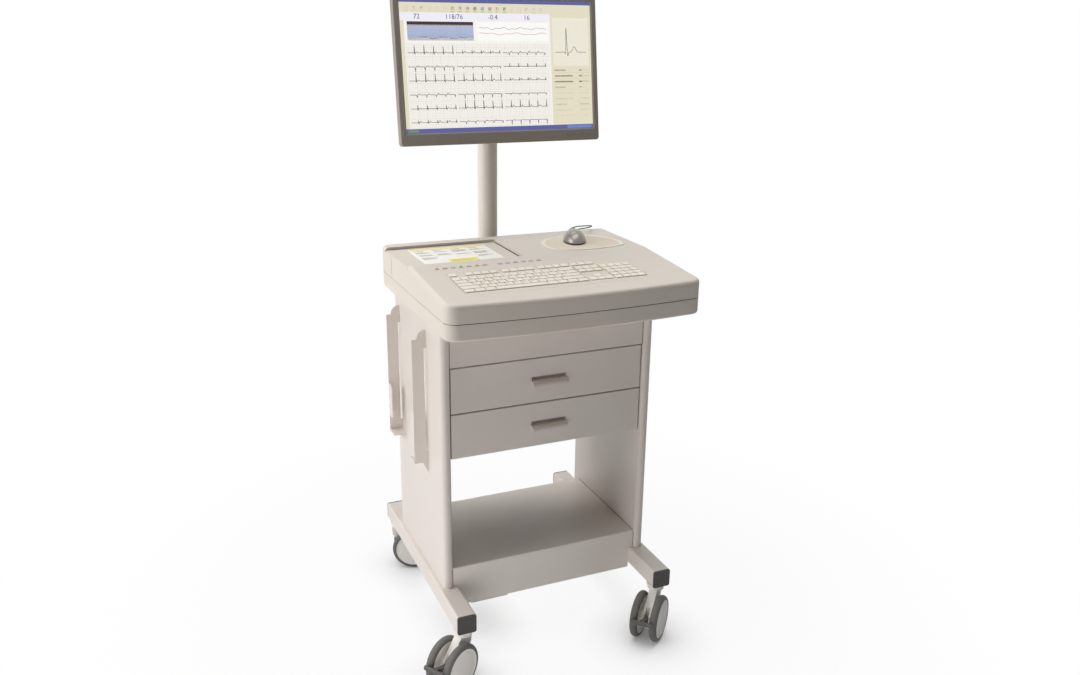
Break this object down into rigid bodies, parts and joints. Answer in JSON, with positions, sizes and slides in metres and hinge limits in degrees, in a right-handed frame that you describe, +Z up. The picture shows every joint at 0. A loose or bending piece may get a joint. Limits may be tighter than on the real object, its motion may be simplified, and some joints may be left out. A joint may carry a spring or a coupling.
{
  "type": "ecg machine",
  "caption": "Wheeled ECG workstation: castor trolley with drawers, sloping console with sealed keyboard, chart printer, mouse, and a tilting monitor on a pole.",
  "frame": {"origin": "on the floor, at the middle of the wheelbase between the four castor pivots", "axes": "+Z up, the drawers open towards -Y, +X to the right of someone who sits at the keyboard"},
  "size_m": [0.7052, 0.721, 1.5157],
  "materials": {
    "cream_paint": "satin powder coat",
    "inner_steel": "plain zinc",
    "case_paint": "matt",
    "cream_plastic": "fine grain",
    "dark_cap": "matt",
    "foil": "smooth foil",
    "pad": "fine grain",
    "silver_plastic": "silver",
    "dark_plastic": "matt",
    "cord_jacket": "matt",
    "platen_rubber": "matt",
    "paper": "paper",
    "board": "solder mask",
    "metal_case": "plain sheet",
    "pole_paint": "satin",
    "plate_paint": "matt",
    "bezel": "fine grain",
    "screen": "backlit panel",
    "castor_plastic": "fine grain",
    "pedal_plastic": "matt",
    "wheel": "moulded tread"
  },
  "bodies": {
    "trolley": {"foot_tube_left": "cream_paint", "foot_tube_right": "cream_paint", "foot_end_caps": "dark_cap", "castor_stems": "inner_steel", "side_panel_left": "cream_paint", "side_panel_right": "cream_paint", "bottom_shelf": "cream_paint", "transformer_case": "case_paint", "back_panel": "cream_paint", "fascia_panel": "cream_paint", "drawer_runners": "inner_steel", "console_lower_shell": "cream_plastic", "console_upper_shell": "cream_plastic", "printer_chassis": "inner_steel", "paper_pack": "paper", "keyboard_foil": "foil", "function_keys": "cream_plastic", "mouse_pad": "pad", "mouse_cord": "cord_jacket", "mouse_plug": "dark_plastic", "mainboard": "board", "power_supply": "metal_case", "connector_plate": "metal_case", "pole": "pole_paint", "pole_bracket": "cream_paint", "side_holder": "cream_paint", "mouse_base": "dark_plastic", "mouse_shell": "silver_plastic"},
    "drawer_lower": {"drawer_box_lower": "inner_steel", "drawer_front_lower": "cream_paint"},
    "drawer_upper": {"drawer_box_upper": "inner_steel", "drawer_front_upper": "cream_paint"},
    "lid": {"printer_lid": "cream_plastic"},
    "platen": {"platen_roller": "platen_rubber"},
    "monitor_head": {"monitor_neck": "pole_paint"},
    "monitor": {"tilt_plate": "plate_paint", "monitor_frame": "bezel", "monitor_cover": "bezel", "display_panel": "screen"},
    "monitor_key_1": {"monitor_button_1": "bezel"},
    "monitor_key_2": {"monitor_button_2": "bezel"},
    "monitor_key_3": {"monitor_button_3": "bezel"},
    "monitor_key_4": {"monitor_button_4": "bezel"},
    "mouse_left_cap": {"mouse_left_button": "silver_plastic"},
    "mouse_right_cap": {"mouse_right_button": "silver_plastic"},
    "scroll_wheel": {"mouse_wheel": "dark_plastic"},
    "castor_front_left": {"castor_fork_front_left": "castor_plastic"},
    "wheel_front_left_left": {"castor_wheel_front_left_left": "wheel"},
    "wheel_front_left_right": {"castor_wheel_front_left_right": "wheel"},
    "pedal_front_left": {"brake_pedal_front_left": "pedal_plastic"},
    "castor_front_right": {"castor_fork_front_right": "castor_plastic"},
    "wheel_front_right_left": {"castor_wheel_front_right_left": "wheel"},
    "wheel_front_right_right": {"castor_wheel_front_right_right": "wheel"},
    "pedal_front_right": {"brake_pedal_front_right": "pedal_plastic"},
    "castor_rear_left": {"castor_fork_rear_left": "castor_plastic"},
    "wheel_rear_left_left": {"castor_wheel_rear_left_left": "wheel"},
    "wheel_rear_left_right": {"castor_wheel_rear_left_right": "wheel"},
    "castor_rear_right": {"castor_fork_rear_right": "castor_plastic"},
    "wheel_rear_right_left": {"castor_wheel_rear_right_left": "wheel"},
    "wheel_rear_right_right": {"castor_wheel_rear_right_right": "wheel"}
  },
  "joints": [
    {"name": "drawer_lower_slide", "type": "slide", "parent": "trolley", "child": "drawer_lower", "axis": [0, -1, 0], "range_m": [0, 0.24]},
    {"name": "drawer_upper_slide", "type": "slide", "parent": "trolley", "child": "drawer_upper", "axis": [0, -1, 0], "range_m": [0, 0.24]},
    {"name": "printer_lid_slide", "type": "slide", "parent": "trolley", "child": "lid", "axis": [-1, 0, 0], "range_m": [0, 0.19]},
    {"name": "platen_turn", "type": "hinge", "parent": "trolley", "child": "platen", "pos_m": [-0.16, 0.1236, 0.9117], "axis": [1, 0, 0], "continuous": true},
    {"name": "monitor_swivel", "type": "hinge", "parent": "trolley", "child": "monitor_head", "pos_m": [0, 0.2355, 1.3], "axis": [0, 0, 1], "range_deg": [-60, 60]},
    {"name": "monitor_tilt", "type": "hinge", "parent": "monitor_head", "child": "monitor", "pos_m": [0, 0.20672, 1.33612], "axis": [-1, 0, 0], "range_deg": [-10, 15]},
    {"name": "monitor_button_1_press", "type": "slide", "parent": "monitor", "child": "monitor_key_1", "axis": [0, 0.9912, -0.1323], "range_m": [0, 0.0008], "stiffness_N_per_m": 1500},
    {"name": "monitor_button_2_press", "type": "slide", "parent": "monitor", "child": "monitor_key_2", "axis": [0, 0.9912, -0.1323], "range_m": [0, 0.0008], "stiffness_N_per_m": 1500},
    {"name": "monitor_button_3_press", "type": "slide", "parent": "monitor", "child": "monitor_key_3", "axis": [0, 0.9912, -0.1323], "range_m": [0, 0.0008], "stiffness_N_per_m": 1500},
    {"name": "monitor_button_4_press", "type": "slide", "parent": "monitor", "child": "monitor_key_4", "axis": [0, 0.9912, -0.1323], "range_m": [0, 0.0008], "stiffness_N_per_m": 1500},
    {"name": "mouse_left_click", "type": "hinge", "parent": "trolley", "child": "mouse_left_cap", "pos_m": [0.16009, 0.05162, 0.9505], "axis": [-0.9373, 0.3486, 0], "range_deg": [0, 1.5], "stiffness_Nm_per_rad": 1},
    {"name": "mouse_right_click", "type": "hinge", "parent": "trolley", "child": "mouse_right_cap", "pos_m": [0.16009, 0.05162, 0.9505], "axis": [-0.9373, 0.3486, 0], "range_deg": [0, 1.5], "stiffness_Nm_per_rad": 1},
    {"name": "scroll_wheel_turn", "type": "hinge", "parent": "trolley", "child": "scroll_wheel", "pos_m": [0.16741, 0.07131, 0.9552], "axis": [0.9373, -0.3486, 0], "continuous": true},
    {"name": "castor_front_left_swivel", "type": "hinge", "parent": "trolley", "child": "castor_front_left", "pos_m": [-0.253, -0.272, 0.12], "axis": [0, 0, 1], "continuous": true},
    {"name": "wheel_front_left_left_roll", "type": "hinge", "parent": "castor_front_left", "child": "wheel_front_left_left", "pos_m": [-0.28814, -0.29312, 0.057], "axis": [0.515, -0.8572, 0], "continuous": true},
    {"name": "wheel_front_left_right_roll", "type": "hinge", "parent": "castor_front_left", "child": "wheel_front_left_right", "pos_m": [-0.28814, -0.29312, 0.057], "axis": [0.515, -0.8572, 0], "continuous": true},
    {"name": "pedal_front_left_press", "type": "hinge", "parent": "castor_front_left", "child": "pedal_front_left", "pos_m": [-0.30272, -0.30187, 0.057], "axis": [0.515, -0.8572, 0], "range_deg": [0, 14]},
    {"name": "castor_front_right_swivel", "type": "hinge", "parent": "trolley", "child": "castor_front_right", "pos_m": [0.253, -0.272, 0.12], "axis": [0, 0, 1], "continuous": true},
    {"name": "wheel_front_right_left_roll", "type": "hinge", "parent": "castor_front_right", "child": "wheel_front_right_left", "pos_m": [0.22253, -0.29943, 0.057], "axis": [0.6691, -0.7431, 0], "continuous": true},
    {"name": "wheel_front_right_right_roll", "type": "hinge", "parent": "castor_front_right", "child": "wheel_front_right_right", "pos_m": [0.22253, -0.29943, 0.057], "axis": [0.6691, -0.7431, 0], "continuous": true},
    {"name": "pedal_front_right_press", "type": "hinge", "parent": "castor_front_right", "child": "pedal_front_right", "pos_m": [0.2099, -0.31081, 0.057], "axis": [0.6691, -0.7431, 0], "range_deg": [0, 14]},
    {"name": "castor_rear_left_swivel", "type": "hinge", "parent": "trolley", "child": "castor_rear_left", "pos_m": [-0.253, 0.272, 0.12], "axis": [0, 0, 1], "continuous": true},
    {"name": "wheel_rear_left_left_roll", "type": "hinge", "parent": "castor_rear_left", "child": "wheel_rear_left_left", "pos_m": [-0.21435, 0.25831, 0.057], "axis": [0.3338, 0.9426, 0], "continuous": true},
    {"name": "wheel_rear_left_right_roll", "type": "hinge", "parent": "castor_rear_left", "child": "wheel_rear_left_right", "pos_m": [-0.21435, 0.25831, 0.057], "axis": [0.3338, 0.9426, 0], "continuous": true},
    {"name": "castor_rear_right_swivel", "type": "hinge", "parent": "trolley", "child": "castor_rear_right", "pos_m": [0.253, 0.272, 0.12], "axis": [0, 0, 1], "continuous": true},
    {"name": "wheel_rear_right_left_roll", "type": "hinge", "parent": "castor_rear_right", "child": "wheel_rear_right_left", "pos_m": [0.28441, 0.29835, 0.057], "axis": [-0.6428, 0.766, 0], "continuous": true},
    {"name": "wheel_rear_right_right_roll", "type": "hinge", "parent": "castor_rear_right", "child": "wheel_rear_right_right", "pos_m": [0.28441, 0.29835, 0.057], "axis": [-0.6428, 0.766, 0], "continuous": true}
  ]
}
